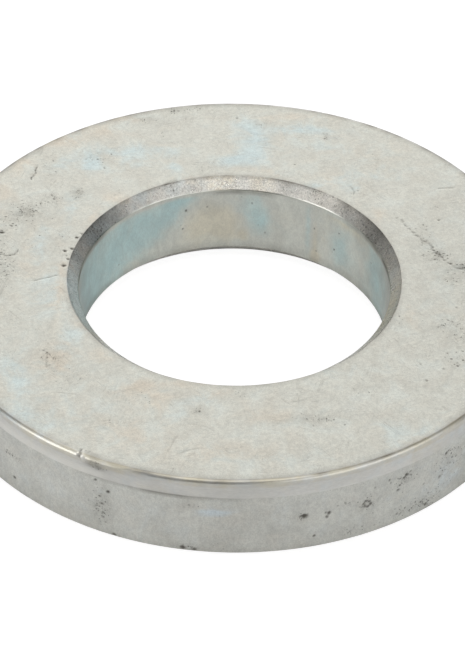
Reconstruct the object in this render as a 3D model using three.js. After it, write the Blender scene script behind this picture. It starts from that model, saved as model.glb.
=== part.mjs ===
// A heavy flat washer for an M30 bolt: one turned steel ring, zinc plated.
// Millimetres, +Z up. The origin is on the bore's axis, in the plane of the underside.

import * as THREE from "three";

// Main sizes
const OUTER_DIAMETER = 60;
const BORE_DIAMETER = 31;
const THICKNESS = 10;

// Bore mouths: 45 degree chamfers. The cut edge between the upper one and the bore is rounded.
const UPPER_BORE_CHAMFER = 1.1;
const LOWER_BORE_CHAMFER = 1.5;
const BORE_EDGE_BREAK = 0.15;

// Upper rim: a rounded edge, then a steep turned band that ends in a ridge at full diameter
const RIM_ROUND_RADIUS = 0.45;
const RIM_BAND_HEIGHT = 1.95; // from the upper face down to the ridge
const RIM_BAND_LEAN = 0.12; // how far the band's top stands inside the full radius
const RIM_BAND_BULGE = 0.02; // how far the band's middle stands out of a straight cone

// Lower rim: a 45 degree chamfer
const LOWER_RIM_CHAMFER = 1.2;

// Facets
const SIDES = 120;
const RIM_ROUND_STEPS = 4;

const outerRadius = OUTER_DIAMETER / 2;
const boreRadius = BORE_DIAMETER / 2;

// A profile point: x is the distance from the axis, y is the height above the underside.
function at(radius, height) {
  return new THREE.Vector2(radius, height);
}

// The rounded upper edge, from the flat face round to the steep band.
function rimRound() {
  const bandTop = outerRadius - RIM_BAND_LEAN;
  const centre = at(bandTop - RIM_ROUND_RADIUS, THICKNESS - RIM_ROUND_RADIUS);
  const points = [];
  for (let step = 0; step <= RIM_ROUND_STEPS; step++) {
    const turn = (Math.PI / 2) * (step / RIM_ROUND_STEPS);
    const out = RIM_ROUND_RADIUS * Math.sin(turn);
    const up = RIM_ROUND_RADIUS * Math.cos(turn);
    points.push(at(centre.x + out, centre.y + up));
  }
  return points;
}

// The middle of the band, which stands slightly proud of a straight line.
function bandMiddle() {
  const bandTopHeight = THICKNESS - RIM_ROUND_RADIUS;
  const ridgeHeight = THICKNESS - RIM_BAND_HEIGHT;
  const radius = outerRadius - RIM_BAND_LEAN / 2 + RIM_BAND_BULGE;
  return at(radius, (bandTopHeight + ridgeHeight) / 2);
}

// Half of the ring's section, walked from the underside out, up, over the top and down the bore.
function ringProfile() {
  const upperMouth = boreRadius + UPPER_BORE_CHAMFER;
  const lowerMouth = boreRadius + LOWER_BORE_CHAMFER;
  const upperChamferFoot = THICKNESS - UPPER_BORE_CHAMFER;
  const cut = BORE_EDGE_BREAK * Math.SQRT1_2;
  return [
    at(lowerMouth, 0),
    at(outerRadius - LOWER_RIM_CHAMFER, 0),
    at(outerRadius, LOWER_RIM_CHAMFER),
    at(outerRadius, THICKNESS - RIM_BAND_HEIGHT),
    bandMiddle(),
    ...rimRound().reverse(),
    at(upperMouth, THICKNESS),
    at(boreRadius + cut, upperChamferFoot + cut),
    at(boreRadius, upperChamferFoot - BORE_EDGE_BREAK),
    at(boreRadius, LOWER_BORE_CHAMFER),
    at(lowerMouth, 0),
  ];
}

function washerRing() {
  const geometry = new THREE.LatheGeometry(ringProfile(), SIDES);
  const zincPlate = new THREE.MeshStandardMaterial({
    color: 0xb9bab6,
    roughness: 0.42,
    metalness: 1.0,
  });
  const ring = new THREE.Mesh(geometry, zincPlate);
  ring.name = "washer_ring";
  ring.rotation.x = Math.PI / 2; // the lathe's axis is +Y, and the washer's is +Z
  return ring;
}

const flatWasher = new THREE.Group();
flatWasher.name = "flat_washer";
flatWasher.add(washerRing());

export default flatWasher;
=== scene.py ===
"""A heavy flat washer for an M30 bolt: turned steel, zinc plated and blue passivated.

The ring is rebuilt as a fine mesh on the CAD ring's own sizes. Its edges are rounded, its rim has
a flared band, and pits, nicks and scratches are pressed into it. The same marks are kept as
attributes on the mesh, and the plating's materials read them. Sizes here are millimetres unless
a name ends in _m or _M, or a comment says otherwise.
"""

import math
import random

import bmesh
import bpy
import numpy as np
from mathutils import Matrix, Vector, noise


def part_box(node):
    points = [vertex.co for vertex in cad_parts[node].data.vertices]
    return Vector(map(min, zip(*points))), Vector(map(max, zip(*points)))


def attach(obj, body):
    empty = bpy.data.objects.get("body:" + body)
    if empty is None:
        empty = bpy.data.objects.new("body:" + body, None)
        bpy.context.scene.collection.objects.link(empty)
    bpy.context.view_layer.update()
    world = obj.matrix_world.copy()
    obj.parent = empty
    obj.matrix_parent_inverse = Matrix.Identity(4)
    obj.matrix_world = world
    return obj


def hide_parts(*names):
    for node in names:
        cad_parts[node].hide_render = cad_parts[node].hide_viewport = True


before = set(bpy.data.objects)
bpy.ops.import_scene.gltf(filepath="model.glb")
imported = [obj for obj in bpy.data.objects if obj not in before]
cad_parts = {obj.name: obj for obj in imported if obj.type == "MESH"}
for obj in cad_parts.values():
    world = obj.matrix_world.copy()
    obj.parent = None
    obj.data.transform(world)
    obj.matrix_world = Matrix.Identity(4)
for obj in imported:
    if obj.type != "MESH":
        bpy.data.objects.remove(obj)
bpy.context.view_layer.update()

MM = 0.001
RING_NODE = "washer_ring"


# ---------------------------------------------------------------- sizes

def ring_sizes():
    """Outer radius, bore radius and thickness of the CAD ring, in millimetres."""
    low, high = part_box(RING_NODE)
    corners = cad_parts[RING_NODE].data.vertices
    bore = min(math.hypot(v.co.x, v.co.y) for v in corners)
    return high.x / MM, bore / MM, (high.z - low.z) / MM


OUTER_RADIUS, BORE_RADIUS, THICKNESS = ring_sizes()

UPPER_BORE_CHAMFER = 1.1
LOWER_BORE_CHAMFER = 1.5
LOWER_RIM_CHAMFER = 1.2
RIM_BAND_HEIGHT = 1.95    # from the upper face down to the ridge at full radius
RIM_BAND_LEAN = 0.12      # how far the band's top stands inside the full radius
RIM_BAND_FLARE = 2.6      # over 1, the band is steep above and flares out at the ridge
RIM_ROUND = 0.45          # radius of the upper rim's rounding

RIDGE_HEIGHT = THICKNESS - RIM_BAND_HEIGHT
BAND_TOP = OUTER_RADIUS - RIM_BAND_LEAN
FACE_END = BAND_TOP - RIM_ROUND                  # radius where the flat face ends at the rim
UPPER_MOUTH = BORE_RADIUS + UPPER_BORE_CHAMFER   # radius where it ends at the bore
CHAMFER_FOOT = THICKNESS - UPPER_BORE_CHAMFER

TURN_STEPS = 480          # mesh columns round the ring
MARK_CUTS = 2             # extra cuts across each face under a mark
MARK_MARGIN = 0.15        # how far the finer mesh reaches past a mark
EDGE_GUARD = 0.07         # from a rounded edge to the first station beside it
SKIN = 0.3                # how near a face or the rim a vertex lies to count as on it
FAR_AWAY = 1e3            # a distance at which no mark is felt

SCORE_STEP = 0.24         # between the pits of the torn score
SCORE_WANDER = 0.06       # how far they stray from its line
RING_MARK = 0.4           # pits of a larger radius have a light middle, so they read as rings

# The surfaces of the ring, in the order of their materials.
FACES, RIM_BAND, SIDE_WALL, CHAMFERS, BORE_WALL = range(5)


# ---------------------------------------------------------------- the ring's section

def section_corners():
    """Corners of the half section: radius, height, rounding, the surface that follows, its step."""
    return [
        (BORE_RADIUS + LOWER_BORE_CHAMFER, 0, 0.12, FACES, 1.3),
        (OUTER_RADIUS - LOWER_RIM_CHAMFER, 0, 0.20, CHAMFERS, 0.5),
        (OUTER_RADIUS, LOWER_RIM_CHAMFER, 0.25, SIDE_WALL, 0.42),
        (OUTER_RADIUS, RIDGE_HEIGHT, 0.05, RIM_BAND, 0.17),
        (BAND_TOP, THICKNESS, RIM_ROUND, FACES, 0.55),
        (UPPER_MOUTH, THICKNESS, 0.06, CHAMFERS, 0.3),
        (BORE_RADIUS, CHAMFER_FOOT, 0.22, BORE_WALL, 0.5),
        (BORE_RADIUS, LOWER_BORE_CHAMFER, 0.15, CHAMFERS, 0.5),
    ]


def rounded_corner(before, corner, after, radius, steps):
    """Points of the arc that rounds a corner, from the side of before to the side of after."""
    into = (corner - before).normalized()
    out = (after - corner).normalized()
    turn = into.angle(out)
    cut = radius * math.tan(turn / 2)
    start = corner - into * cut
    inward = (out - into * into.dot(out)).normalized()
    centre = start + inward * radius
    arc = []
    for step in range(steps + 1):
        angle = turn * step / steps
        arc.append(centre - inward * radius * math.cos(angle) + into * radius * math.sin(angle))
    return arc


def straight_run(start, end, step):
    """Points between two ends, with one close to each end so that the shading stays flat."""
    length = (end - start).length
    guard = min(EDGE_GUARD, length / 4)
    count = max(2, round((length - 2 * guard) / step))
    shares = [guard + (length - 2 * guard) * i / count for i in range(count + 1)]
    return [start.lerp(end, share / length) for share in shares]


def ring_section():
    """The closed half section as (radius, height, surface) stations."""
    corners = section_corners()
    count = len(corners)
    arcs = []
    for i, (radius, height, rounding, surface, step) in enumerate(corners):
        before = Vector(corners[i - 1][:2])
        after = Vector(corners[(i + 1) % count][:2])
        steps = 8 if rounding >= RIM_ROUND else 3
        arcs.append(rounded_corner(before, Vector((radius, height)), after, rounding, steps))
    stations = []
    for i, (radius, height, rounding, surface, step) in enumerate(corners):
        following = arcs[(i + 1) % count]
        arc_surface = RIM_BAND if rounding == RIM_ROUND else surface
        stations += [(p.x, p.y, arc_surface) for p in arcs[i][:-1]]
        stations.append((arcs[i][-1].x, arcs[i][-1].y, surface))
        run = straight_run(arcs[i][-1], following[0], step)
        stations += [(p.x, p.y, surface) for p in run]
    return [(flared(r, z, s), z, s) for r, z, s in stations]


def flared(radius, height, surface):
    """The radius with the rim band's flare: the straight lean becomes a curve that ends at the ridge."""
    if surface != RIM_BAND or height > THICKNESS - RIM_ROUND:
        return radius
    share = (height - RIDGE_HEIGHT) / (RIM_BAND_HEIGHT - RIM_ROUND)
    share = min(max(share, 0.0), 1.0)
    curved = 1 - (1 - share) ** RIM_BAND_FLARE
    return radius - RIM_BAND_LEAN * (curved - share)


# ---------------------------------------------------------------- marks on the ring
# Places on the faces are (x, y) in mm, with the front at -y.
# Places on the walls are (angle, height): degrees from the front, positive towards +x, and mm.

FACE_PITS = [  # x, y, radius, depth
    (-17, 1.25, 0.2, 0.1), (-17, 3.6, 0.16, 0.09), (-16.35, 4, 0.15, 0.09), (-16.65, 2.3, 0.13, 0.08),
    (-16.75, 2.8, 0.1, 0.06), (-15.95, 5.8, 0.15, 0.08), (-15.5, 6.4, 0.12, 0.06),
    (-22.7, 7.6, 0.14, 0.06), (-23.6, 6.5, 0.2, 0.09), (20.8, 9.4, 0.13, 0.05), (20.5, -11.5, 0.14, 0.04),
    (18.3, -15.5, 0.15, 0.04), (17.8, -13.2, 0.12, 0.03), (20, -13.8, 0.16, 0.03),
    (21.8, -4.6, 0.12, 0.03), (10.4, -21.9, 0.11, 0.04), (0.1, 26.9, 0.14, 0.04),
    (-13.7, 17.6, 0.12, 0.05), (-5.4, 26.6, 0.1, 0.03), (6.2, 18.7, 0.1, 0.04), (-10.8, -22.2, 0.1, 0.03),
    (-5.4, -28.2, 0.1, 0.03), (-13.1, -26, 0.11, 0.03), (0.8, -25.1, 0.09, 0.02),
    (19.2, 21.9, 0.09, 0.03), (9.4, 23.3, 0.12, 0.03), (9.5, 24, 0.1, 0.03),
]
SIDE_PITS = [  # angle, height, radius, depth
    (12.9, 5.25, 0.3, 0.08), (12.3, 5.3, 0.2, 0.05), (17.4, 5.1, 0.2, 0.06), (16.8, 5.2, 0.14, 0.04),
    (17, 4.67, 0.2, 0.05), (14.8, 2.53, 0.16, 0.06), (24.7, 5.03, 0.44, 0.06), (19, 5.76, 0.13, 0.03),
    (20.3, 5.95, 0.11, 0.03), (21.2, 5.81, 0.11, 0.03), (26.1, 6.77, 0.13, 0.03), (29, 7.09, 0.16, 0.05),
    (29.3, 6.67, 0.1, 0.04), (30.9, 5.39, 0.17, 0.05), (32.1, 6.64, 0.18, 0.06), (32.6, 6.88, 0.2, 0.07),
    (33.4, 7.12, 0.13, 0.05), (41.8, 6.96, 0.18, 0.07), (42.3, 7.14, 0.13, 0.06),
    (44.5, 5.79, 0.14, 0.04), (42.8, 5.45, 0.13, 0.03), (40.5, 4.38, 0.24, 0.03), (36.7, 4.6, 0.16, 0.02),
    (37.9, 3.08, 0.13, 0.04), (37.5, 1.77, 0.22, 0.05), (35, 2.77, 0.12, 0.03), (40.8, 2.4, 0.12, 0.03),
    (30.6, 3.02, 0.1, 0.03), (31, 2.3, 0.14, 0.03), (23.9, 2.27, 0.11, 0.02), (21.6, 2.06, 0.13, 0.03),
    (26.3, 1.92, 0.12, 0.02), (23.7, 7.78, 0.1, 0.02), (-24.7, 7.65, 0.17, 0.05),
    (-22.3, 6.59, 0.19, 0.07), (-23.9, 5.71, 0.13, 0.04), (-23.6, 4.84, 0.15, 0.05),
    (-24.6, 4.42, 0.12, 0.04), (-26.2, 4.73, 0.1, 0.03), (-23.4, 3.77, 0.13, 0.04),
    (-23.3, 3.23, 0.12, 0.04), (-22.9, 2.63, 0.1, 0.03), (-43.3, 2.71, 0.19, 0.06),
    (-8.4, 6.66, 0.12, 0.02), (-6.6, 6.98, 0.1, 0.02), (-8.6, 1.45, 0.26, 0.06), (-6.5, 1.35, 0.22, 0.05),
    (-21.3, 1.35, 0.2, 0.05),
]
BORE_PITS = [  # angle, height, radius, depth
    (-160.7, 6.8, 0.13, 0.06), (-169.1, 6.9, 0.11, 0.04), (-170.2, 8.3, 0.08, 0.03),
    (-159.4, 4.5, 0.11, 0.05), (-160.6, 4.9, 0.07, 0.03), (-158.6, 5, 0.07, 0.03),
    (-129.4, 3.3, 0.1, 0.04), (-133.4, 4.1, 0.09, 0.03), (-137, 4.1, 0.08, 0.03),
    (-155.2, 1.9, 0.08, 0.03), (173.5, 7.3, 0.11, 0.05), (168.2, 3.6, 0.1, 0.05), (171, 4.5, 0.07, 0.03),
    (147.9, 5.8, 0.11, 0.05), (138.2, 4.3, 0.12, 0.06), (139.1, 3.9, 0.1, 0.04), (136.1, 6.7, 0.1, 0.05),
    (116, 6.3, 0.12, 0.05), (146.7, 3, 0.11, 0.04), (-141.6, 6.3, 0.09, 0.03), (177.5, 8, 0.08, 0.03),
]
RAGGED_SCORE = [  # x, y: a torn score across the face, drawn as a chain of small pits
    (15.9, 10.6), (17, 9.2), (17.8, 7.7), (18.6, 6.5), (19.7, 5.3), (20.2, 4), (21, 2.9), (22, 1.7),
    (23.3, 1.2),
]
FACE_SCRATCHES = [  # points, width, depth, darkness
    ([(-20.7, 17.8), (-20.9, 17.1), (-20.75, 16.6), (-21.2, 15.9), (-21.2, 15.5)], 0.095, 0.04, 0.85),
    ([(-19.9, -1.3), (-19.2, -1), (-17.6, -0.35)], 0.1, 0.04, 0.5),
    ([(-17.75, -12.2), (-17.85, -13), (-17.75, -14.2)], 0.12, 0.03, 0.5),
    ([(-23.6, 3), (-22.8, 2.7), (-22, 2.9), (-21.7, 3.7)], 0.13, 0.03, 0.6),
    ([(21, 14.8), (22.6, 14.95)], 0.11, 0.03, 0.5),
    ([(11.9, 15), (12.3, 14.1), (12.2, 13.6)], 0.12, 0.03, 0.5),
    ([(-3.9, -22.1), (-2.6, -22.4), (-1.6, -23)], 0.12, 0.02, 0.35),
    ([(-16.3, -8.4), (-15.1, -11.3)], 0.1, 0.02, 0.35),
    ([(-7.3, 14.85), (-6.7, 15.3), (-6.1, 15.7)], 0.12, 0.05, 0.55),
    ([(-6.7, 15.25), (-5.8, 15.45)], 0.1, 0.03, 0.35),
    (RAGGED_SCORE[1:4], 0.1, 0.01, 0.22),
    (RAGGED_SCORE[3:], 0.13, 0.02, 0.42),
]
GRIME_PATCHES = [  # x, y, reach along x, reach along y, strength
    (-21.1, 9.9, 1, 0.8, 1), (-22.5, 8.6, 1.1, 0.9, 0.4), (-22.8, 11.5, 0.5, 0.7, 0.6),
    (-16.2, 13.2, 0.7, 0.9, 0.75), (-18.6, 12.5, 1, 0.6, 0.45), (-9.6, 26.4, 1.5, 0.5, 0.6),
    (-12.8, 26, 0.9, 0.5, 0.4), (-6.4, 28.1, 0.9, 0.6, 0.75), (-4.4, 28.5, 0.8, 0.4, 0.5),
    (2.5, 25.7, 1.2, 0.6, 0.45), (9.5, 23.7, 0.4, 1, 0.45), (-17.6, 5.4, 0.7, 1, 0.35),
    (-22.8, 1, 0.9, 2.2, 0.35), (7.3, -21.2, 1.9, 0.7, 0.5), (8.9, -20.9, 0.6, 0.5, 0.4),
    (-3.2, -20.1, 0.5, 0.4, 0.7), (-5, -18.1, 0.5, 0.35, 0.5), (-17.4, -13, 1.2, 1.8, 0.4),
    (-15.6, -16, 1.3, 1.3, 0.3), (19.8, 3.6, 1.6, 1, 0.5), (21.6, 0.2, 0.9, 1.5, 0.5),
    (22.8, 1.8, 0.8, 0.7, 0.9), (20.4, -7.5, 1.4, 1.5, 0.35), (21.2, -12.7, 1.3, 0.9, 0.5),
    (12.2, 14.2, 0.8, 0.9, 0.35), (20.6, 11.6, 1, 0.6, 0.3), (-14.5, 19.5, 2, 1.5, 0.35),
    (-7.8, 23.6, 0.7, 0.8, 0.35), (-2.5, 18.3, 1.6, 0.5, 0.35), (16.2, -7, 0.9, 1.2, 0.3),
    (-8, -18.5, 1.6, 1.4, 0.25), (12, -17, 2, 1, 0.2), (0.6, -17.7, 0.9, 0.7, 0.3),
    (-19, 18, 1.5, 2, 0.3), (-24, 4, 1, 4, 0.35), (22, -9, 1.2, 2.5, 0.4), (19, 8, 0.9, 1.4, 0.35),
    (14, 19.5, 2.5, 2, 0.2), (-12, -21.5, 2.5, 2, 0.15), (19.2, 6, 0.8, 0.8, 0.4),
    (20.6, 3.6, 0.7, 0.8, 0.5), (-24, 0, 1.6, 3, 0.35), (-20.5, 8, 4.5, 6, 0.16),
    (-19.5, -9, 3.5, 6, 0.14), (-19.6, 11.4, 1.6, 0.5, 0.4),
]
FACE_SHADES = [  # x, y, reach along x, reach along y, strength: thin soot without specks, and broad darker patches; the one at (0, 25) is painted shade over the back of the face
    (-16.9, -13.3, 1.7, 2.1, 0.1), (-12.8, -14.8, 1.6, 1.4, 0.05), (-9, -16.6, 2.4, 1.1, 0.06),
    (-21.1, 9.8, 0.75, 0.55, 0.22), (-16.1, 13.2, 0.5, 0.7, 0.15), (-22.3, 8.8, 0.8, 0.5, 0.14),
    (22.9, 1.6, 1.3, 0.5, 0.22), (-3.1, -20.1, 0.6, 0.25, 0.34), (7.3, -21.2, 1.7, 0.35, 0.22),
    (6.6, -20.6, 0.9, 0.25, 0.14), (-6.4, 28.2, 1, 0.4, 0.16), (23, 3, 6, 13, 0.07),
    (-24.5, -2, 3, 7, 0.06), (-21.6, 9.6, 2.6, 2.2, 0.1), (-16.4, 13, 1.3, 1.4, 0.08),
    (19.4, 5.6, 1.4, 1.6, 0.08), (21.8, 1.2, 2, 1.6, 0.12), (0, 25, 22, 9, 0.05),
    (-18.2, 3, 1.2, 5, 0.05), (7.8, -21, 2.2, 0.9, 0.07), (-9, 26.4, 3, 0.8, 0.06),
]
BLUE_PATCHES = [  # x, y, reach along x, reach along y, strength
    (-15.1, 18.4, 1.3, 1.9, 0.8), (-12.3, 20.6, 3.2, 1.2, 0.6), (-18, 18.6, 2.2, 1.2, 0.4),
    (-8.4, 20.9, 1.8, 1.1, 0.7), (-6.4, 18.3, 0.9, 1.9, 0.6), (0.2, 19.1, 2.4, 1, 0.7),
    (2.2, 22.7, 2.4, 1.9, 0.9), (6, 24.9, 4.2, 0.9, 0.7), (1.6, 19.4, 1.9, 1.6, 0.6),
    (1, 26, 2, 1.2, 0.4), (9.6, 22, 2.6, 1.6, 0.3), (11, 16.4, 1.6, 1.3, 0.5),
    (12.6, 14.8, 1.3, 0.8, 0.5), (8.2, 14.9, 0.8, 0.6, 0.6), (15.4, 17.2, 2.4, 1.6, 0.3),
    (-17, 9.4, 0.9, 2.8, 0.6), (-19.5, 4, 0.8, 4, 0.6), (-18.4, -3.4, 1.2, 3, 0.5),
    (-15.6, -9.4, 1.3, 3, 0.4), (-20.6, -15.5, 2, 4, 0.5), (-18, -21, 3, 2.5, 0.5),
    (-13.2, -19.2, 2, 2.5, 0.25), (-3.4, -18.4, 1.6, 1.2, 0.5), (-4.6, -21.4, 2, 1.4, 0.3),
    (-11, 18, 2.2, 1.4, 0.35), (16, -23, 3, 2, 0.35), (9, -13.6, 2.5, 1.5, 0.25),
    (-25.5, -9, 1.6, 4, 0.3), (24, -14, 2, 4, 0.3), (4, -26.5, 6, 1, 0.2),
]
ROSE_PATCHES = [  # x, y, reach along x, reach along y, strength
    (-18.8, 22.3, 3, 1.1, 0.9), (-14.6, 24.4, 3, 1, 0.7), (-22.4, 18, 1.6, 1.8, 0.6),
    (-11.8, 26.6, 2.4, 0.7, 0.6), (-12.2, 12.2, 1.4, 1, 0.7), (-14.4, 9.2, 0.8, 1.3, 0.6),
    (-17.2, -2.2, 0.6, 4.5, 0.8), (-14.9, -8, 0.7, 1.8, 0.6), (-16.9, -13.4, 1.7, 2.4, 0.8),
    (-12.8, -12.6, 1.3, 1.3, 0.5), (-9, -16.9, 2.4, 1.4, 0.6), (-7.4, -19, 2, 1.4, 0.6),
    (-9.4, -23.6, 3.6, 2.2, 0.45), (-1, -26, 5, 1.6, 0.4), (14.8, 10.6, 0.9, 1.5, 0.6),
    (-20.8, 1.4, 0.8, 5, 0.35), (9, 15.6, 1.6, 1.4, 0.4), (4.6, 17.2, 2.4, 0.8, 0.5),
    (17.2, -6.2, 0.8, 1.6, 0.5), (-4.4, 15.9, 2.2, 0.5, 0.6), (6, 27.2, 4.5, 0.8, 0.5),
    (15, 20.6, 3, 2, 0.25), (-1.2, -17.6, 1.6, 0.6, 0.5), (-24, 12.5, 1.2, 3, 0.5), (4, -21, 3.5, 2, 0.3),
    (20.5, -6, 1.2, 3, 0.3), (-5, -16.4, 3, 0.5, 0.5),
]
BORE_STAINS = [  # angle, height, reach in degrees, reach in height, blue, straw
    (-106, 5, 16, 6, 1, 0), (-128, 5.6, 12, 4.6, 0.8, 0), (-144, 6.2, 10, 3.4, 0.8, 0),
    (-154, 7.2, 6, 2.2, 0.6, 0), (-160, 8.3, 6, 1, 0.6, 0), (-170, 4.8, 8, 2.6, 0, 0.9),
    (-177, 4.2, 5, 2.4, 0, 0.8), (-163, 3.4, 6, 2.8, 0, 0.5), (173.5, 6.6, 4.5, 2.8, 0.62, 0),
    (169, 5.2, 4, 2, 0.55, 0), (176.8, 3, 2.2, 0.7, 0, 1), (160, 5, 6, 3, 0, 0.25),
    (150.6, 5.5, 1.4, 3.6, 0.5, 0), (147.4, 4, 1.3, 4, 0, 0.6), (143.5, 6, 3, 2.5, 0, 0.3),
    (135, 5, 6, 3.4, 0.6, 0), (110, 5, 12, 6, 0.8, 0.2), (147, 2.2, 2.6, 0.8, 0, 1),
    (-136, 2.6, 10, 0.9, 0, 0.4), (134, 8.3, 8, 0.6, 0, 0.7), (125, 8, 6, 0.7, 0, 0.6),
]
CHAMFER_STAINS_AND_SHADE = [  # angle, reach in degrees, rose, dark, blue; dark is partly soot and partly painted shade
    (-175, 9, 0.8, 0, 0), (-166, 3, 0, 0.16, 0), (-157, 9, 0, 0.26, 0.25), (-143, 9, 0, 0.21, 0.4),
    (-130, 6, 0, 0.22, 0.4), (-118, 10, 0, 0.42, 0.8), (-100, 6, 0, 0.24, 0.4), (-76, 20, 0, 0, 1),
    (170, 6, 0.7, 0, 0), (161, 4, 0, 0.3, 0), (149, 9, 0.1, 0.27, 0), (135, 7, 0.2, 0.34, 0),
    (102, 6, 0.3, 0.14, 0), (120, 9, 0, 0.38, 0), (76, 20, 0.6, 0, 0),
]
NICK_ANGLE = -28.2   # where a chipped burr crosses the rim's rounding
RIM_SMUDGES = [  # angle, height, reach along, reach up, strength
    (-24.8, 9.68, 0.45, 0.22, 1), (-25.5, 9.25, 0.6, 0.3, 0.75), (-23.4, 9.15, 0.45, 0.25, 0.6),
    (-27.6, 10, 0.25, 0.25, 0.6), (-41.5, 5.65, 0.4, 0.2, 0.7), (-44.7, 5.4, 1, 0.25, 0.7),
    (-43.3, 5.55, 1, 0.2, 0.6), (-7.4, 6.85, 0.9, 0.35, 0.6), (-2.1, 5.78, 1, 0.12, 0.8),
    (-2, 2.05, 0.6, 0.4, 0.45), (-8, 1.55, 1, 0.3, 0.7), (36.8, 9.95, 0.3, 0.2, 0.6),
    (22, 2.1, 1.6, 0.5, 0.45), (31, 2.3, 1, 0.6, 0.5), (24.6, 5.2, 1.2, 1, 0.35),
    (-23.4, 4.6, 0.9, 2.4, 0.55), (37, 2.2, 1.5, 0.8, 0.7), (12.5, 5.2, 0.9, 0.5, 0.4),
    (32.5, 6.4, 1.4, 0.8, 0.55), (43, 6.2, 1.6, 1.2, 0.55), (30, 4.2, 4.5, 2.6, 0.1), (42, 4, 4, 3, 0.14),
    (20.5, 5.8, 0.8, 0.3, 0.35),
]
RIM_SHADES = [  # angle, height, reach along, reach up, strength: thin soot without specks, and broad darker patches on the wall
    (2, 4, 7, 4, 0.08), (50, 5, 3, 4, 0.08), (-23.6, 4.5, 1.4, 3, 0.1), (-24.9, 9.7, 0.6, 0.3, 0.6),
    (-25.6, 9.2, 0.7, 0.3, 0.4), (-24.2, 9.15, 0.4, 0.3, 0.45), (24.6, 5, 1.4, 0.9, 0.06),
    (-8, 1.8, 3, 0.8, 0.08),
]
RIM_BLUES = [  # angle, height, reach along, reach up, strength
    (-3, 6.25, 2.1, 0.36, 1), (-1.9, 6.05, 1.2, 0.2, 0.6), (43, 4, 3, 1.6, 0.4), (38, 8.9, 5, 0.4, 0.4),
]


def arc_span(angles, centre):
    """Degrees from centre round to each angle, between -180 and 180."""
    return (angles - centre + 180) % 360 - 180


def bell(away, reach):
    """1 at a place or on a line, falling smoothly to about a third at the reach and then to 0."""
    return np.exp(-((away / reach) ** 2))


def unit(values):
    """The values held between 0 and 1."""
    return np.clip(values, 0, 1)


def score_pits():
    """The chain of small pits along the torn score: x, y, radius, depth."""
    chance = random.Random(4)
    pits = []
    for (ax, ay), (bx, by) in zip(RAGGED_SCORE, RAGGED_SCORE[1:]):
        count = max(2, round(math.hypot(bx - ax, by - ay) / SCORE_STEP))
        for i in range(count):
            share = (i + chance.random()) / count
            x = ax + (bx - ax) * share + chance.gauss(0, SCORE_WANDER)
            y = ay + (by - ay) * share + chance.gauss(0, SCORE_WANDER)
            worn = min(1.0, (4 + len(pits)) / 14)
            radius = chance.uniform(0.07, 0.12 + 0.05 * worn)
            depth = (0.012 + 0.03 * chance.random()) * worn
            pits.append((x, y, radius, depth))
    return pits


class Surface:
    """Every vertex of the ring as arrays, and how near each one is to a place or a line."""

    def __init__(self, mesh):
        points = np.empty(len(mesh.vertices) * 3)
        mesh.vertices.foreach_get("co", points)
        self.points = points.reshape(-1, 3) / MM
        self.x, self.y, self.z = self.points.T
        self.radius = np.hypot(self.x, self.y)
        self.angle = np.degrees(np.arctan2(self.x, -self.y))
        self.upper = self.z > THICKNESS - SKIN
        self.wall = (self.radius > OUTER_RADIUS - 0.6) & (self.z < THICKNESS - 0.1)
        self.outer = self.radius > OUTER_RADIUS - SKIN
        self.inner = self.radius < BORE_RADIUS + 0.2
        in_mouth = self.radius < UPPER_MOUTH + 0.02
        self.chamfer = in_mouth * unit((self.z - CHAMFER_FOOT + 0.1) / 0.15)

    def on_face(self, x, y, reach_x, reach_y):
        """How near each upper-face vertex is to a place on the face: 1 at it, fading to 0."""
        away = ((self.x - x) / reach_x) ** 2 + ((self.y - y) / reach_y) ** 2
        return np.exp(-away) * self.upper

    def on_rim(self, angle, height, reach_along, reach_up):
        """How near each vertex is to a place on the outer wall, the band or the rim's rounding."""
        along = np.radians(arc_span(self.angle, angle)) * OUTER_RADIUS
        away = (along / reach_along) ** 2 + ((self.z - height) / reach_up) ** 2
        return np.exp(-away) * (self.radius > OUTER_RADIUS - 0.8)

    def on_bore(self, angle, height, reach_degrees, reach_up):
        """How near each vertex is to a place on the bore's wall."""
        along = arc_span(self.angle, angle) / reach_degrees
        below_edge = unit((CHAMFER_FOOT - 0.12 - self.z) / 0.15)
        return np.exp(-(along**2) - ((self.z - height) / reach_up) ** 2) * self.inner * below_edge

    def near_angle(self, angle, reach_degrees):
        """How near each vertex is to a direction from the axis."""
        return bell(arc_span(self.angle, angle), reach_degrees)

    def from_line(self, points):
        """Distance of each vertex from a line of points drawn on the upper face."""
        nearest = np.full(len(self.x), FAR_AWAY)
        for (ax, ay), (bx, by) in zip(points, points[1:]):
            dx, dy = bx - ax, by - ay
            share = unit(((self.x - ax) * dx + (self.y - ay) * dy) / (dx * dx + dy * dy))
            away = np.hypot(self.x - ax - share * dx, self.y - ay - share * dy)
            nearest = np.minimum(nearest, away)
        return np.where(self.upper, nearest, FAR_AWAY)

    def from_pits(self):
        """For each pit, the distance of every vertex from its middle, its radius and its depth."""
        for x, y, radius, depth in FACE_PITS + score_pits():
            away = np.hypot(self.x - x, self.y - y)
            yield np.where(self.upper, away, FAR_AWAY), radius, depth
        walls = [(SIDE_PITS, self.wall, OUTER_RADIUS), (BORE_PITS, self.inner, BORE_RADIUS)]
        for pits, on_wall, wall_radius in walls:
            for angle, height, radius, depth in pits:
                along = np.radians(arc_span(self.angle, angle)) * wall_radius
                away = np.hypot(along, self.z - height)
                yield np.where(on_wall, away, FAR_AWAY), radius, depth


def rippled(points, size, seed):
    """Smooth noise from -1 to 1 at each point, with features about size across."""
    shift = Vector((seed * 7.3, seed * 3.1, seed * 5.7))
    return np.array([noise.noise(Vector(p) / size + shift) for p in points])


# ---------------------------------------------------------------- the ring's mesh

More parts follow.
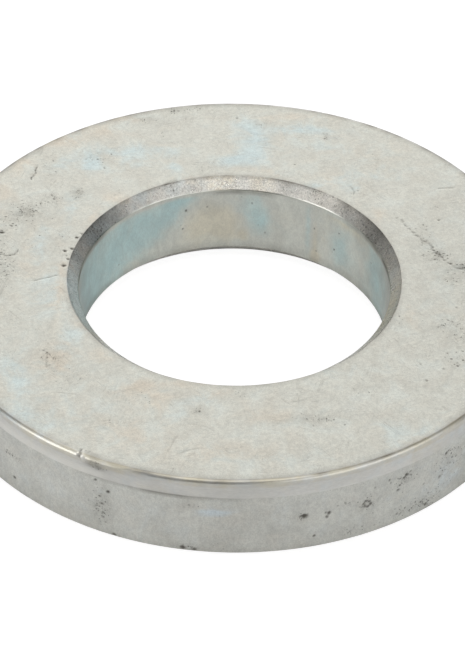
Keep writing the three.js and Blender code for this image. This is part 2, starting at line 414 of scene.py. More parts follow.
def turned_ring():
    """The smooth ring: the section swept round the axis. Each face knows its surface."""
    section = ring_section()
    run = section_lengths(section)
    bm = bmesh.new()
    run_layer = bm.verts.layers.float.new("along_section")
    columns = []
    for turn in range(TURN_STEPS):
        angle = 2 * math.pi * turn / TURN_STEPS
        column = []
        for (radius, height, surface), length in zip(section, run):
            place = (radius * math.sin(angle) * MM, -radius * math.cos(angle) * MM, height * MM)
            vertex = bm.verts.new(place)
            vertex[run_layer] = length
            column.append(vertex)
        columns.append(column)
    for turn in range(TURN_STEPS):
        here, there = columns[turn], columns[(turn + 1) % TURN_STEPS]
        for row in range(len(section)):
            after = (row + 1) % len(section)
            face = bm.faces.new((here[row], there[row], there[after], here[after]))
            face.material_index = section[row][2]
            face.smooth = True
    return bm


def section_lengths(section):
    """Length along the section up to each station, in mm."""
    lengths = [0.0]
    for (r0, z0, s0), (r1, z1, s1) in zip(section, section[1:]):
        lengths.append(lengths[-1] + math.hypot(r1 - r0, z1 - z0))
    return lengths


def wall_point(radius, angle, height):
    """A place on a wall as x, y and z in mm."""
    turn = math.radians(angle)
    return (radius * math.sin(turn), -radius * math.cos(turn), height)


def marked_places():
    """Centres and reaches of the marks that need a finer mesh: the last are the nick and its smudge."""
    places = [((x, y, THICKNESS), 2.4 * r) for x, y, r, depth in FACE_PITS + score_pits()]
    places += [(wall_point(OUTER_RADIUS, a, h), 2.2 * r) for a, h, r, depth in SIDE_PITS]
    places += [(wall_point(BORE_RADIUS, a, h), 2.2 * r) for a, h, r, depth in BORE_PITS]
    for points, width, depth, darkness in FACE_SCRATCHES:
        for (ax, ay), (bx, by) in zip(points, points[1:]):
            pieces = max(2, round(math.hypot(bx - ax, by - ay) / 0.3))
            for i in range(pieces + 1):
                share = i / pieces
                centre = (ax + (bx - ax) * share, ay + (by - ay) * share, THICKNESS)
                places.append((centre, 3.0 * width))
    places.append((wall_point(OUTER_RADIUS - 0.2, NICK_ANGLE, THICKNESS - 0.2), 1.0))
    places.append((wall_point(OUTER_RADIUS - 0.1, NICK_ANGLE + 3.4, THICKNESS - 0.5), 0.9))
    return places


def refine_marks(bm, cuts):
    """Splits the faces round every mark, so that the mark's edge is a shape and not a facet."""
    bm.faces.ensure_lookup_table()
    centres = np.array([face.calc_center_median() for face in bm.faces]) / MM
    chosen = np.zeros(len(centres), bool)
    for centre, reach in marked_places():
        chosen |= ((centres - np.array(centre)) ** 2).sum(1) < (reach + MARK_MARGIN) ** 2
    edges = {edge for i in np.flatnonzero(chosen) for edge in bm.faces[i].edges}
    bmesh.ops.subdivide_edges(bm, edges=list(edges), cuts=cuts, use_grid_fill=True)


def pit_shape(away, radius, depth):
    """A pit's depth, and how dark its fill is, at each distance from its middle."""
    bowl = np.exp(-((away / radius) ** 3))
    lip = bell(away - 1.3 * radius, 0.3 * radius)
    if radius > RING_MARK:
        outline = bell(away - 0.82 * radius, 0.34 * radius)
        dark = np.maximum(0.75 * outline, 0.3 * bell(away, 0.7 * radius))
    else:
        strength = min(1.0, 0.32 + depth * 9)
        dark = np.exp(-((away / (radius * 1.15)) ** 2.5)) * strength
    return 0.12 * depth * lip - depth * bowl, dark


def pressed_marks(surface):
    """How far each vertex moves along its normal, in mm, and how dark its mark is."""
    lift = np.zeros(len(surface.x))
    fill = np.zeros(len(surface.x))
    ragged = 1 + 0.45 * rippled(surface.points, 0.28, seed=11)
    for away, radius, depth in surface.from_pits():
        sunk, dark = pit_shape(away * ragged, radius, depth)
        lift += sunk
        fill = np.maximum(fill, dark)
    broken = unit(1 + 0.8 * rippled(surface.points, 0.5, seed=5))
    for points, width, depth, darkness in FACE_SCRATCHES:
        groove = bell(surface.from_line(points) * ragged, width)
        lift -= depth * groove
        fill = np.maximum(fill, darkness * groove * broken)
    return lift, fill


def nicked_rim(surface):
    """The chipped burr on the rim's rounding: a crease, and a flattened bright flake beside it."""
    along = np.radians(arc_span(surface.angle, NICK_ANGLE)) * OUTER_RADIUS
    down = THICKNESS - surface.z
    rim = (surface.radius > OUTER_RADIUS - 0.9) & (down < 1.2)
    slanted = along - 0.35 * down
    fade = bell(down - 0.2, 0.35) * rim
    crease = bell(slanted, 0.1) * fade
    flake = np.exp(-(((slanted - 0.3) / 0.2) ** 4)) * fade
    return 0.035 * flake - 0.1 * crease, crease, flake


def near_upper_rim(surface):
    """1 on the upper rim's rounding, fading out on both sides."""
    return bell(FACE_END - surface.radius, 0.5) * (surface.z > THICKNESS - 0.8)


def rolled_edge(surface):
    """1 on the upper rim's rounding alone, where the plating is duller."""
    return near_upper_rim(surface) * unit((surface.radius - FACE_END - 0.02) / 0.12)


def lit_side(surface, down, spread):
    """1 on the line of the rim's rounding that catches the light, this far down from the face."""
    return rolled_edge(surface) * bell(THICKNESS - down - surface.z, spread)


def shaped_ring():
    """The finished ring mesh, with its marks pressed in and kept as attributes."""
    bm = turned_ring()
    refine_marks(bm, MARK_CUTS)
    mesh = bpy.data.meshes.new("plated_washer_ring")
    bm.normal_update()
    bm.to_mesh(mesh)
    bm.free()
    surface = Surface(mesh)
    normals = np.empty(len(mesh.vertices) * 3)
    mesh.vertex_normals.foreach_get("vector", normals)
    lift, fill = pressed_marks(surface)
    nick, crease, flake = nicked_rim(surface)
    waves = 0.012 * rippled(surface.points, 5.0, seed=1) + 0.005 * rippled(surface.points, 1.7, seed=2)
    edge_waves = 0.014 * rippled(surface.points, 1.1, seed=3) * near_upper_rim(surface)
    lift = lift + nick - np.abs(waves) - np.abs(edge_waves)
    moved = (surface.points + normals.reshape(-1, 3) * lift[:, None]) * MM
    mesh.vertices.foreach_set("co", moved.astype(np.float32).ravel())
    paint_marks(mesh, surface, unit(np.maximum(fill, 0.9 * crease)), flake)
    lay_out_bake_map(mesh, surface)
    mesh.update()
    return mesh


def layered(surface, places, near, strength=-1):
    """Overlapping soft patches as one layer. Strength says which of a patch's values is its own."""
    layer = np.zeros(len(surface.x))
    for place in places:
        layer = layer + place[strength] * near(*place[:4])
    return unit(layer)


def window(angle, start, end, fade):
    """1 between two angles, fading to 0 over a few degrees outside them."""
    return unit(1 + (angle - start) / fade) * unit(1 - (angle - end) / fade)


def rim_shade(surface):
    """Darkening of the rim: painted shade along the face's end, on the rounding, on the band and low on
    the wall, with a darker strip of face and a dark line at the ridge.
    """
    radius, z, angle = surface.radius, surface.z, surface.angle
    crease_radius = FACE_END + 0.19
    front = window(angle, -12, 4, 10)
    behind = unit((np.abs(angle) - 55) / 25)
    sides = np.maximum(window(angle, 15, 110, 8), window(angle, -110, -42, 8))
    # painted shade: a dark line where the flat face ends, stronger at the sides and weaker at the front
    crease = 0.2 + 0.35 * sides - 0.16 * front
    crease = crease * bell(radius - crease_radius, 0.055) * surface.upper
    # the face darker towards its end at the rim, more so behind
    face_end = (0.24 + 0.1 * behind) * unit((radius - crease_radius + 0.8) / 0.7)
    face_end = face_end * (radius < crease_radius) * surface.upper
    # painted shade on the rim's rounding, much darker behind
    rounding = (0.16 + 0.44 * behind) * unit((radius - crease_radius + 0.25) / 0.2)
    rounding = rounding * near_upper_rim(surface)
    # painted shade over the line of the rounding that catches the light, at the front and front right
    highlight_line_shade = 0.76 * window(angle, -16, 4, 7) + 0.33 * window(angle, 13, 28, 6)
    highlight_line_shade = highlight_line_shade * lit_side(surface, 0.1, 0.08)
    on_band = surface.outer * (z > RIDGE_HEIGHT) * (z < THICKNESS - SKIN)
    # painted shade on the band at the front
    band = 0.13 * window(angle, -22, 4, 7) * on_band
    # a dark line along the ridge at the front left
    ridge = 0.7 * window(angle, -16, -8, 14) * bell(z - RIDGE_HEIGHT + 0.03, 0.07) * surface.outer
    # painted shade: the outer wall darker towards the bottom
    foot = 0.2 * unit((1.7 - z) / 0.6) * surface.outer
    return crease + face_end + rounding + highlight_line_shade + band + ridge + foot


def bore_shade(surface):
    """Darkening of the bore: a dark line at its mouth's edge in the face, and painted shade at the
    chamfer's foot, on the wall's low part and on its sides.
    """
    z, angle = surface.z, surface.angle
    turn = angle % 360
    # a dark line round the mouth's edge in the face, stronger behind and in front
    mouth = 0.34 + 0.3 * window(turn, 155, 205, 10) + 0.3 * window(angle, -70, 70, 15)
    mouth = mouth * bell(surface.radius - UPPER_MOUTH, 0.09) * surface.upper
    # painted shade: a dark line along the chamfer's foot
    edge = (0.5 + 0.18 * window(turn, 165, 188, 8)) * bell(z - CHAMFER_FOOT + 0.2, 0.1)
    edge = edge + 0.5 * window(np.abs(angle), 72, 120, 10) * bell(z - CHAMFER_FOOT + 0.1, 0.09)
    edge = edge * (1 - window(turn, 195, 230, 10)) * (1 - window(angle, 135, 162, 6))
    # painted shade: the bore darker towards the bottom
    low = 0.4 * unit((2.6 - z) / 1.4)
    # painted shade on the bore's sides below the chamfer
    sides = 0.3 * unit((132 - np.abs(angle)) / 36) * (z < CHAMFER_FOOT)
    return mouth + (edge + low + sides) * surface.inner


def oil_soot_and_painted_shade(surface):
    """Darkening: thin soot in patches, and along the ring's edges, in the bore and on the chamfer a
    darkening that is partly old oil and partly painted shade.
    """
    soot_and_shade_patches = layered(surface, FACE_SHADES, surface.on_face) + layered(surface, RIM_SHADES, surface.on_rim)
    shade = soot_and_shade_patches + rim_shade(surface) + bore_shade(surface)
    # the chamfer's dark column, partly soot and partly painted shade
    for marked_angle, reach, rose, dark, blue in CHAMFER_STAINS_AND_SHADE:
        shade = shade + dark * surface.near_angle(marked_angle, reach) * surface.chamfer
    uneven = 0.85 + 0.5 * rippled(surface.points, 1.3, seed=21)
    return unit(shade * uneven)


def flake_and_painted_highlights(surface, flake):
    """The nick's flake, where the zinc is bright, and painted highlights along parts of the bore's edge,
    on the band and on the rim's rounding.
    """
    z, angle = surface.z, surface.angle
    # painted highlight along parts of the bore's edge, behind on both sides
    worn = 0.9 * window(angle, 138, 158, 6) + 0.8 * window(angle % 360, 194, 222, 8)
    patchy = unit(0.75 + 1.3 * rippled(surface.points, 0.7, seed=31))
    edge = worn * patchy * bell(z - CHAMFER_FOOT, 0.08) * surface.inner
    # painted highlight low on the band at the front left
    band_highlight = 0.8 * window(angle, -48, -25, 6) * bell(z - RIDGE_HEIGHT - 0.3, 0.45)
    band_highlight = band_highlight * surface.outer * (z > RIDGE_HEIGHT)
    # painted highlight on the rim's rounding at the front left
    rolled = 0.9 * window(angle, -40, -28, 5) * lit_side(surface, 0.14, 0.11)
    return np.maximum.reduce([flake, edge, band_highlight, rolled])


CHAMFER_SPECKLE = 1.6   # how much more grime than shade the chamfer's dark column carries; that column is partly soot and partly painted shade


def paint_marks(mesh, surface, fill, flake):
    """Writes the layers that the plating's materials read."""
    blue = layered(surface, BLUE_PATCHES, surface.on_face)
    blue = np.maximum(blue, layered(surface, BORE_STAINS, surface.on_bore, 4))
    blue = np.maximum(blue, layered(surface, RIM_BLUES, surface.on_rim))
    rose = layered(surface, ROSE_PATCHES, surface.on_face)
    rose = np.maximum(rose, layered(surface, BORE_STAINS, surface.on_bore, 5))
    sooty = np.zeros(len(surface.x))
    for marked_angle, reach, rosy, dark, bluish in CHAMFER_STAINS_AND_SHADE:
        near = surface.near_angle(marked_angle, reach) * surface.chamfer
        rose = np.maximum(rose, rosy * near)
        blue = np.maximum(blue, bluish * near)
        sooty = np.maximum(sooty, CHAMFER_SPECKLE * dark * near)
    rolled = rolled_edge(surface)
    rose = np.maximum(rose, 0.9 * rolled * window(surface.angle, -52, 60, 12))
    grime = layered(surface, GRIME_PATCHES, surface.on_face)
    grime = np.maximum(grime, layered(surface, RIM_SMUDGES, surface.on_rim))
    grime = unit(np.maximum(grime, sooty))
    layers = {
        "blue_tint": blue,
        "straw_tint": rose,
        "grime": grime,
        "pit_fill": fill,
        "flake_and_painted_highlight": flake_and_painted_highlights(surface, flake),
        "oil_soot_and_painted_shade": oil_soot_and_painted_shade(surface),
        "rolled_edge": rolled,
    }
    for name, values in layers.items():
        layer = mesh.attributes.new(name, "FLOAT", "POINT")
        layer.data.foreach_set("value", values.astype(np.float32))


MAP_GAP = 0.004          # margin round each strip of the bake map
SECTION_CLOSES = 1.002   # the last station's length, and a little for the step back to the first


def lay_out_bake_map(mesh, surface):
    """A map for baking: each half turn is a strip, with the section's length up it."""
    corner_vertex = np.empty(len(mesh.loops), int)
    mesh.loops.foreach_get("vertex_index", corner_vertex)
    face_size = np.empty(len(mesh.polygons), int)
    mesh.polygons.foreach_get("loop_total", face_size)
    face_start = np.cumsum(face_size) - face_size
    face_of_corner = np.repeat(np.arange(len(face_size)), face_size)
    run = np.empty(len(mesh.vertices))
    mesh.attributes["along_section"].data.foreach_get("value", run)
    whole = run.max() * SECTION_CLOSES
    run = run[corner_vertex]
    # A face with corners near both ends of the section is the one that closes it.
    highest = np.maximum.reduceat(run, face_start)[face_of_corner]
    run = np.where((highest > 0.9 * whole) & (run < 0.1 * whole), whole, run)
    angle = np.degrees(np.arctan2(surface.x, -surface.y))[corner_vertex] % 360
    first = angle[face_start][face_of_corner]
    angle = first + arc_span(angle, first)
    middle = (np.add.reduceat(angle, face_start) / face_size)[face_of_corner]
    second_half = (middle % 360) >= 180
    across = (arc_span(angle, 90 + 180 * second_half) + 90) / 180
    across = MAP_GAP + (1 - 2 * MAP_GAP) * across
    along = (run / whole * (1 - 2 * MAP_GAP) + MAP_GAP + second_half) / 2
    layer = mesh.uv_layers.new(name="OFBake")
    layer.data.foreach_set("uv", np.stack([across, along], 1).astype(np.float32).ravel())
    mesh.attributes.remove(mesh.attributes["along_section"])


# ---------------------------------------------------------------- node helpers

class Nodes:
    """Adds nodes to one node tree. Where a value is asked for, it takes a number, a colour or a socket."""

    def __init__(self, tree):
        self.tree = tree

    def join(self, value, socket):
        if isinstance(value, bpy.types.NodeSocket):
            self.tree.links.new(value, socket)
        elif value is not None:
            socket.default_value = value

    def add(self, kind, **settings):
        node = self.tree.nodes.new(kind)
        for name, value in settings.items():
            setattr(node, name, value)
        return node

    def math(self, operation, a, b=None, c=None, clamp=False):
        node = self.add("ShaderNodeMath", operation=operation, use_clamp=clamp)
        for socket, given in zip(node.inputs, (a, b, c)):
            self.join(given, socket)
        return node.outputs[0]

    def grey(self, value):
        node = self.add("ShaderNodeCombineColor")
        for socket in node.inputs:
            self.join(value, socket)
        return node.outputs[0]

    def times(self, a, b):
        return self.math("MULTIPLY", a, b)

    def plus(self, a, b):
        return self.math("ADD", a, b)

    def remap(self, value, low, high, to_low=0.0, to_high=1.0):
        node = self.add("ShaderNodeMapRange", interpolation_type="SMOOTHSTEP")
        for socket, given in zip(node.inputs, (value, low, high, to_low, to_high)):
            self.join(given, socket)
        return node.outputs[0]

    def swing(self, pattern, middle, amount):
        """A noise pattern's usual range, spread evenly round a middle value."""
        return self.remap(pattern, 0.3, 0.7, middle - amount, middle + amount)

    def mix(self, share, a, b, blend="MIX"):
        node = self.add("ShaderNodeMix", data_type="RGBA", blend_type=blend, clamp_factor=True)
        self.join(share, node.inputs[0])
        self.join(a, node.inputs[6])
        self.join(b, node.inputs[7])
        return node.outputs[2]

    def drawn_out(self, vector, lengths, degrees=0.0):
        """The place for a pattern that is drawn out by lengths along x, y and z, then turned."""
        node = self.add("ShaderNodeMapping", vector_type="TEXTURE")
        self.join(vector, node.inputs["Vector"])
        node.inputs["Rotation"].default_value = (0, 0, math.radians(degrees))
        node.inputs["Scale"].default_value = lengths
        return node.outputs[0]

    def noise(self, vector, per_metre, detail=2.0, roughness=0.5, distortion=0.0):
        node = self.add("ShaderNodeTexNoise")
        self.join(vector, node.inputs["Vector"])
        self.join(per_metre, node.inputs["Scale"])
        node.inputs["Detail"].default_value = detail
        node.inputs["Roughness"].default_value = roughness
        node.inputs["Distortion"].default_value = distortion
        return node.outputs["Fac"]

    def layer(self, name):
        return self.add("ShaderNodeAttribute", attribute_name=name).outputs["Fac"]

    def group(self, tree, **values):
        node = self.add("ShaderNodeGroup")
        node.node_tree = tree
        for name, value in values.items():
            self.join(value, node.inputs[name.replace("_", " ")])
        return node.outputs


SOCKET_KINDS = {"vector": "NodeSocketVector", "number": "NodeSocketFloat", "colour": "NodeSocketColor"}


def new_group(name, inputs, outputs):
    """An empty shader group with named sockets: its tree, its nodes helper and both its ends."""
    tree = bpy.data.node_groups.new(name, "ShaderNodeTree")
    for label, kind in inputs.items():
        tree.interface.new_socket(label, in_out="INPUT", socket_type=SOCKET_KINDS[kind])
    for label, kind in outputs.items():
        tree.interface.new_socket(label, in_out="OUTPUT", socket_type=SOCKET_KINDS[kind])
    start = tree.nodes.new("NodeGroupInput")
    end = tree.nodes.new("NodeGroupOutput")
    return tree, Nodes(tree), start.outputs, end.inputs


# ---------------------------------------------------------------- effects shared by the materials

def tumbled_grain_group():
    """The matte grain of a tumbled, plated surface: fine pebbling, and a slower mottle."""
    tree, n, given, made = new_group(
        "tumbled_grain",
        {"Place": "vector", "Grains Per Metre": "number"},
        {"Grain": "number", "Mottle": "number"},
    )
    fine_rate = n.times(given["Grains Per Metre"], 3.0)
    pebbles = n.noise(given["Place"], given["Grains Per Metre"], 4.0, 0.72)
    fine = n.noise(given["Place"], fine_rate, 1.0, 0.5)
    grain = n.plus(n.times(pebbles, 0.6), n.times(fine, 0.4))
    slow_rate = n.times(given["Grains Per Metre"], 0.14)
    n.join(grain, made["Grain"])
    n.join(n.noise(given["Place"], slow_rate, 4.0, 0.6, 0.4), made["Mottle"])
    return tree


def rubbing_lay_group():
    """Fine rubbing marks in three crossing directions, each where a slow noise lets it show."""
    tree, n, given, made = new_group("rubbing_lay", {"Place": "vector"}, {"Lay": "number"})
    lays = []
    for length, degrees, per_metre in ((5.0, 22.0, 3400.0), (4.0, -52.0, 3800.0), (4.0, 96.0, 3600.0)):
        drawn = n.drawn_out(given["Place"], (length, 1.0, 1.0), degrees)
        lays.append(n.noise(drawn, per_metre, 3.0, 0.65))
    first, second, third = lays
    where = n.noise(given["Place"], 150.0, 2.0, 0.5)
    crossed = n.mix(n.remap(where, 0.40, 0.52), second, first)
    crossed = n.mix(n.remap(where, 0.56, 0.68), crossed, third)
    n.join(crossed, made["Lay"])
    return tree


def handling_scratches_group():
    """Hair-fine separate scratches in several directions."""
    tree, n, given, made = new_group("handling_scratches", {"Place": "vector"}, {"Scratches": "number"})
    total = None
    for degrees, rate in ((17.0, 1500.0), (74.0, 1900.0), (-48.0, 1700.0), (-8.0, 2300.0)):
        lines = n.noise(n.drawn_out(given["Place"], (16.0, 1.0, 1.0), degrees), rate, 1.0, 0.5, 0.2)
        off_line = n.math("ABSOLUTE", n.math("SUBTRACT", lines, 0.5))
        line = n.remap(off_line, 0.0, 0.012, 1.0, 0.0)
        shown = n.noise(n.drawn_out(given["Place"], (1.0, 1.0, 1.0), degrees * 3), 420.0, 1.0)
        line = n.times(line, n.remap(shown, 0.54, 0.70))
        total = line if total is None else n.math("MAXIMUM", total, line)
    n.join(total, made["Scratches"])
    return tree


def passivate_group():
    """The passivate's colours over the bare zinc: blue and straw patches with broken edges."""
    tree, n, given, made = new_group(
        "passivate_tint",
        {
            "Zinc": "colour", "Blue": "colour", "Straw": "colour",
            "Blue Share": "number", "Straw Share": "number",
            "Breakup": "number", "Raggedness": "number",
        },
        {"Color": "colour"},
    )
    broken = n.times(n.swing(given["Breakup"], 0.0, 1.0), given["Raggedness"])
    blue = n.remap(n.plus(given["Blue Share"], broken), 0.0, 1.1)
    straw = n.remap(n.math("SUBTRACT", given["Straw Share"], broken), 0.0, 1.1)
    colour = n.mix(straw, given["Zinc"], given["Straw"])
    n.join(n.mix(blue, colour, given["Blue"]), made["Color"])
    return tree


def grime_specks_group():
    """Separate dark specks that crowd together where the grime is strong, and the haze round them."""
    tree, n, given, made = new_group(
        "grime_specks",
        {"Place": "vector", "Grime": "number", "Stray": "number"},
        {"Specks": "number", "Haze": "number"},
    )
    wander = n.noise(given["Place"], 2600.0, 2.0, 0.6)
    ragged = n.add("ShaderNodeVectorMath", operation="SCALE")
    n.join(given["Place"], ragged.inputs[0])
    n.join(n.remap(wander, 0.2, 0.8, 0.994, 1.006), ragged.inputs["Scale"])
    crowding = n.plus(n.times(given["Grime"], 0.66), given["Stray"])
    total = None
    for per_metre in (5600.0, 3600.0):
        cells = n.add("ShaderNodeTexVoronoi", feature="F1")
        n.join(ragged.outputs[0], cells.inputs["Vector"])
        n.join(per_metre, cells.inputs["Scale"])
        chance = n.add("ShaderNodeSeparateColor")
        n.join(cells.outputs["Color"], chance.inputs[0])
        over = n.math("SUBTRACT", n.plus(chance.outputs[0], crowding), 1.0)
        widest = n.remap(chance.outputs[1], 0.0, 1.0, 0.22, 0.52)
        reach = n.math("MINIMUM", n.times(over, 2.0), widest)
        inside = n.math("SUBTRACT", reach, cells.outputs["Distance"])
        dot = n.remap(inside, -0.12, 0.16)
        total = dot if total is None else n.math("MAXIMUM", total, dot)
    n.join(total, made["Specks"])
    slow = n.noise(given["Place"], 1400.0, 3.0, 0.65, 0.6)
    n.join(n.times(given["Grime"], n.remap(slow, 0.35, 0.62)), made["Haze"])
    return tree


EFFECTS = {
    "grain": tumbled_grain_group(),
    "lay": rubbing_lay_group(),
    "passivate": passivate_group(),
    "scratches": handling_scratches_group(),
    "specks": grime_specks_group(),
}


# ---------------------------------------------------------------- materials

# Linear colours
# the first colour darkens scratches and grime haze as old oil, and is also the colour of the painted shade
OLD_OIL_AND_SHADE = (0.17, 0.155, 0.13, 1)
SPECK_DARK = (0.12, 0.115, 0.10, 1)
PIT_DARK = (0.10, 0.09, 0.075, 1)
# the bright colour below is the nick's fresh zinc and also the colour of the painted highlights
FRESH_ZINC_AND_HIGHLIGHT = (0.93, 0.91, 0.85, 1)

# How the passivate changes the zinc's colour
BLUE_OVER_ZINC = (0.935, 1.07, 1.18)
STRAW_OVER_ZINC = (1.07, 0.985, 0.925)

# How much of the plating each layer covers where it is strongest
HAZE_COVER = 0.30
SPECK_COVER = 0.64
FILL_COVER = 0.9
FLAKE_AND_HIGHLIGHT_COVER = 0.5

# What is added to the roughness
ROLLED_DULLS = 0.13
DIRT_DULLS = 0.25
ROUGHNESS_SWING = 0.03

SCRATCH_DEPTH = 0.4   # as a share of the grain's depth
BREAKUP_PER_METRE = 420.0


def tinted(colour, change):
    """A colour with each channel multiplied, as a node takes it."""
    return (*(min(c * k, 1.0) for c, k in zip(colour, change)), 1)


def plated_material(
    name, zinc, roughness, grain_size, grain_depth, stretch=(1, 1, 1), lay=0.0, scratches=0.0,
    stray=0.0, uneven=0.05, mottle=0.05, ragged=0.30, blue=BLUE_OVER_ZINC, straw=STRAW_OVER_ZINC,
):
    """Zinc plating on one surface of the ring.

    The grain's size and depth are mm, and stretch draws it out. Uneven, mottle and lay are how far
    the colour swings. Ragged breaks up the edges of the blue and straw patches.
    """
    material = bpy.data.materials.new(name)
    material.use_nodes = True
    tree = material.node_tree
    tree.nodes.clear()
    n = Nodes(tree)
    place = n.add("ShaderNodeTexCoord").outputs["Object"]
    drawn = n.drawn_out(place, stretch)
    grain = n.group(EFFECTS["grain"], Place=drawn, Grains_Per_Metre=1000.0 / grain_size)

    tint = n.group(
        EFFECTS["passivate"],
        Zinc=(*zinc, 1), Blue=tinted(zinc, blue), Straw=tinted(zinc, straw),
        Blue_Share=n.layer("blue_tint"), Straw_Share=n.layer("straw_tint"),
        Breakup=n.noise(place, BREAKUP_PER_METRE, 4.0, 0.6, 0.5), Raggedness=ragged,
    )["Color"]
    shade = n.times(n.swing(grain["Mottle"], 1, mottle), n.swing(grain["Grain"], 1, uneven))
    if lay:
        rubbed = n.group(EFFECTS["lay"], Place=place)["Lay"]
        shade = n.times(shade, n.swing(rubbed, 1, lay))
    colour = n.mix(1.0, tint, shade, "MULTIPLY")
    height = grain["Grain"]
    if scratches:
        lines = n.group(EFFECTS["scratches"], Place=place)["Scratches"]
        colour = n.mix(n.times(lines, scratches), colour, OLD_OIL_AND_SHADE)
        height = n.math("SUBTRACT", height, n.times(lines, SCRATCH_DEPTH))
    dirt = n.group(EFFECTS["specks"], Place=place, Grime=n.layer("grime"), Stray=stray)
    colour = n.mix(n.times(dirt["Haze"], HAZE_COVER), colour, OLD_OIL_AND_SHADE)
    # painted shade along the edges, in the bore and on the chamfer, with thin soot and old oil, darkens
    # the zinc here
    colour = n.mix(n.layer("oil_soot_and_painted_shade"), colour, OLD_OIL_AND_SHADE)
    colour = n.mix(n.times(dirt["Specks"], SPECK_COVER), colour, SPECK_DARK)
    fill = n.remap(n.layer("pit_fill"), 0.08, 0.95)
    colour = n.mix(n.times(fill, FILL_COVER), colour, PIT_DARK)
    # the nick's bright flake, and painted highlights on the bore's edge, the band and the rounding
    colour = n.mix(n.times(n.layer("flake_and_painted_highlight"), FLAKE_AND_HIGHLIGHT_COVER), colour, FRESH_ZINC_AND_HIGHLIGHT)

    soiled = n.math("MAXIMUM", fill, dirt["Specks"])
    dull = n.swing(grain["Mottle"], roughness, ROUGHNESS_SWING)
    dull = n.plus(dull, n.times(n.layer("rolled_edge"), ROLLED_DULLS))
    dull = n.math("ADD", dull, n.times(soiled, DIRT_DULLS), clamp=True)
    bump = n.add("ShaderNodeBump")
    bump.inputs["Strength"].default_value = 1.0
    bump.inputs["Distance"].default_value = grain_depth * MM
    n.join(height, bump.inputs["Height"])

    plate = n.add("ShaderNodeBsdfPrincipled")
    plate.inputs["Metallic"].default_value = 1.0
    n.join(colour, plate.inputs["Base Color"])
    n.join(dull, plate.inputs["Roughness"])
    n.join(bump.outputs[0], plate.inputs["Normal"])
    output = n.add("ShaderNodeOutputMaterial")
    tree.links.new(plate.outputs[0], output.inputs["Surface"])
    return material


def plated_materials():
    """One material for each surface, in the order of the surface numbers. The zinc's colour differs
    between them partly as painted light, each lighter or darker to set that surface's brightness.
    """
    return [
        plated_material(
            "zinc_bearing_face", (0.630, 0.627, 0.566), 0.42, 0.34, 0.014,
            lay=0.035, scratches=0.22, stray=0.04, uneven=0.125, mottle=0.06,
        ),
        plated_material(
            "zinc_rim_band", (0.73, 0.725, 0.69), 0.32, 0.34, 0.005,
            stretch=(3, 3, 1), stray=0.0, uneven=0.06, mottle=0.05,
            straw=(1.03, 0.975, 0.81),
        ),
        plated_material(
            "zinc_side_wall", (0.688, 0.692, 0.648), 0.36, 0.34, 0.016,
            stretch=(1, 1, 1.3), stray=0.06, uneven=0.12, mottle=0.07,
            blue=(1.04, 1.13, 1.25),
        ),
        plated_material(
            "zinc_chamfer", (0.80, 0.785, 0.732), 0.30, 0.20, 0.050,
            stretch=(1.0, 1.0, 1.4), stray=0.02, uneven=0.33, mottle=0.04,
            blue=(0.98, 1.10, 1.19), straw=(1.05, 0.99, 0.89),
        ),
        plated_material(
            "zinc_bore_wall", (0.78, 0.79, 0.73), 0.34, 0.36, 0.008,
            stretch=(1, 1, 1.8), stray=0.03, uneven=0.08, mottle=0.08,
            ragged=0.12, blue=(0.77, 0.985, 1.07), straw=(1.03, 0.965, 0.88),
        ),
    ]


# ---------------------------------------------------------------- the piece

def make_ring():
    """The plated ring, which stands in for the CAD ring."""
    mesh = shaped_ring()
    for material in plated_materials():
        mesh.materials.append(material)
    ring = bpy.data.objects.new("plated_washer_ring", mesh)
    bpy.context.scene.collection.objects.link(ring)
    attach(ring, "root")
    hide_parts(RING_NODE)
    return ring


# ---------------------------------------------------------------- floor, lights and camera

FLOOR_HALF_M = 1.5
FLOOR_DROP_M = 0.00002    # how far the floor lies under the ring, so that the two don't meet
FLOOR_ALBEDO = (0.80, 0.80, 0.80, 1)   # for the light that the floor throws back at the ring
FLOOR_GLOW = 0.02
SEEN_ALBEDO = (0.25, 0.25, 0.25, 1)    # as the camera sees the floor: white, with faint shadows
SEEN_GLOW = 0.90
SURROUND = 0.01           # radiance of the tent between its glows
PANEL_DISTANCE = 1.0      # m
GLOW_CORE = 0.15          # the share of a glow's reach that is at full strength
PANELS = [  # name, azimuth, elevation, width in m, height in m, radiance
    ("left_low", -56, 6, 0.50, 0.32, 1.5),
    ("ceiling", 0, 90, 0.80, 0.80, 1.0),
]
GLOWS = [  # name, azimuth, elevation, reach in degrees, radiance
    ("upper_left", -64, 46, 26, 0.55),
    ("upper_left_front", -32, 48, 24, 0.15),
    ("upper_right_front", 32, 48, 24, 0.25),
    ("upper_right", 64, 46, 26, 0.65),
    ("left", -62, 22, 24, 2.2),
    ("right_front", 30, 18, 24, 1.5),
    ("right", 62, 22, 24, 1.4),
    ("back_left", -142, 44, 32, 0.6),
    ("back", 180, 42, 30, 0.7),
    ("back_right", 142, 44, 32, 0.3),
    ("back_low_left", -145, 12, 26, 0.5),
    ("back_low", 180, 12, 26, 1.65),
    ("back_low_right", 145, 12, 26, 0.7),
    ("zenith_front", 0, 74, 26, 1.55),
]


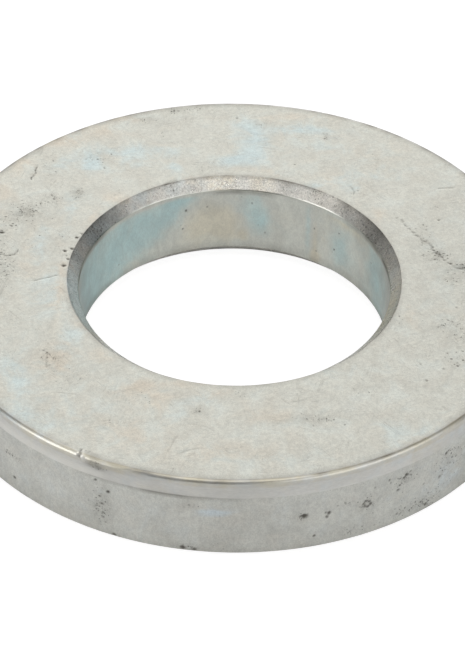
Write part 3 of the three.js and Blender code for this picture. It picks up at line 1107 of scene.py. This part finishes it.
def make_floor():
    """A plain pale floor, white to the camera but for a faint shadow under the ring."""
    mesh = bpy.data.meshes.new("floor")
    signs = ((-1, -1), (1, -1), (1, 1), (-1, 1))
    corners = [(x * FLOOR_HALF_M, y * FLOOR_HALF_M, -FLOOR_DROP_M) for x, y in signs]
    mesh.from_pydata(corners, [], [(0, 1, 2, 3)])
    floor = bpy.data.objects.new("floor", mesh)
    bpy.context.scene.collection.objects.link(floor)
    material = bpy.data.materials.new("pale_floor")
    material.use_nodes = True
    n = Nodes(material.node_tree)
    paper = material.node_tree.nodes["Principled BSDF"]
    paper.inputs["Roughness"].default_value = 0.9
    paper.inputs["Specular IOR Level"].default_value = 0.0
    seen = n.add("ShaderNodeLightPath").outputs["Is Camera Ray"]
    n.join(n.mix(seen, FLOOR_ALBEDO, SEEN_ALBEDO), paper.inputs["Base Color"])
    paper.inputs["Emission Color"].default_value = (1, 1, 1, 1)
    glow = n.math("MULTIPLY_ADD", seen, SEEN_GLOW - FLOOR_GLOW, FLOOR_GLOW)
    n.join(glow, paper.inputs["Emission Strength"])
    mesh.materials.append(material)


def soft_panel(name, azimuth, elevation, width_m, height_m, radiance):
    """A softbox that faces the ring squarely."""
    lamp = bpy.data.lights.new(name, "AREA")
    lamp.shape = "RECTANGLE"
    lamp.size = width_m
    lamp.size_y = height_m
    lamp.energy = radiance * math.pi * width_m * height_m
    panel = bpy.data.objects.new(name, lamp)
    away = towards(azimuth, elevation)
    panel.location = away * PANEL_DISTANCE
    panel.rotation_euler = (-away).to_track_quat("-Z", "Y").to_euler()
    panel.visible_camera = False
    bpy.context.scene.collection.objects.link(panel)


def towards(azimuth, elevation):
    """The direction of a light: azimuth is degrees from the front, positive towards +x."""
    turn, rise = math.radians(azimuth), math.radians(elevation)
    return Vector((math.sin(turn) * math.cos(rise), -math.cos(turn) * math.cos(rise), math.sin(rise)))


def light_studio():
    """Two soft panels in a tent whose cloth glows softly in places. The camera sees it as white."""
    for panel in PANELS:
        soft_panel(*panel)
    world = bpy.data.worlds.new("light_tent")
    bpy.context.scene.world = world
    world.use_nodes = True
    n = Nodes(world.node_tree)
    direction = n.add("ShaderNodeTexCoord").outputs["Generated"]
    total = SURROUND
    for name, azimuth, elevation, reach, radiance in GLOWS:
        facing = n.add("ShaderNodeVectorMath", operation="DOT_PRODUCT", label=name)
        n.join(direction, facing.inputs[0])
        facing.inputs[1].default_value = towards(azimuth, elevation)
        edge, core = math.cos(math.radians(reach)), math.cos(math.radians(reach * GLOW_CORE))
        glow = n.remap(facing.outputs["Value"], edge, core, 0.0, radiance)
        total = n.plus(glow, total)
    sky = world.node_tree.nodes["Background"]
    seen = n.add("ShaderNodeLightPath").outputs["Is Camera Ray"]
    n.join(n.mix(seen, n.grey(total), (1.0, 1.0, 1.0, 1)), sky.inputs["Color"])


CAMERA_LENS = 145.77      # mm
CAMERA_SENSOR = 36        # mm, along its long side
CAMERA_CLIP_M = 0.01
CAMERA_DISTANCE = 8.969   # outer radii, from the aim point
CAMERA_AIM = (-0.0044, 0.1564, 0.0)   # outer radii
CAMERA_ELEVATION = 39.80  # degrees
CAMERA_ROLL = 0.708       # degrees


def set_camera():
    """The camera stands in front of the ring and looks down at it, with a slight roll."""
    radius_m = OUTER_RADIUS * MM
    rise, roll = math.radians(CAMERA_ELEVATION), math.radians(CAMERA_ROLL)
    back = Vector((0, -math.cos(rise), math.sin(rise)))
    level_right = Vector((1, 0, 0))
    level_up = Vector((0, math.sin(rise), math.cos(rise)))
    right = level_right * math.cos(roll) + level_up * math.sin(roll)
    up = level_up * math.cos(roll) - level_right * math.sin(roll)
    camera = bpy.data.objects.new("camera", bpy.data.cameras.new("camera"))
    bpy.context.scene.collection.objects.link(camera)
    camera.data.lens = CAMERA_LENS
    camera.data.sensor_width = CAMERA_SENSOR
    camera.data.clip_start = CAMERA_CLIP_M
    pose = camera.matrix_world.copy()
    for row in range(3):
        pose[row][0], pose[row][1], pose[row][2] = right[row], up[row], back[row]
        pose[row][3] = (CAMERA_AIM[row] + back[row] * CAMERA_DISTANCE) * radius_m
    camera.matrix_world = pose
    bpy.context.scene.camera = camera


make_ring()
make_floor()
light_studio()
set_camera()
bpy.context.scene.view_settings.view_transform = "Standard"
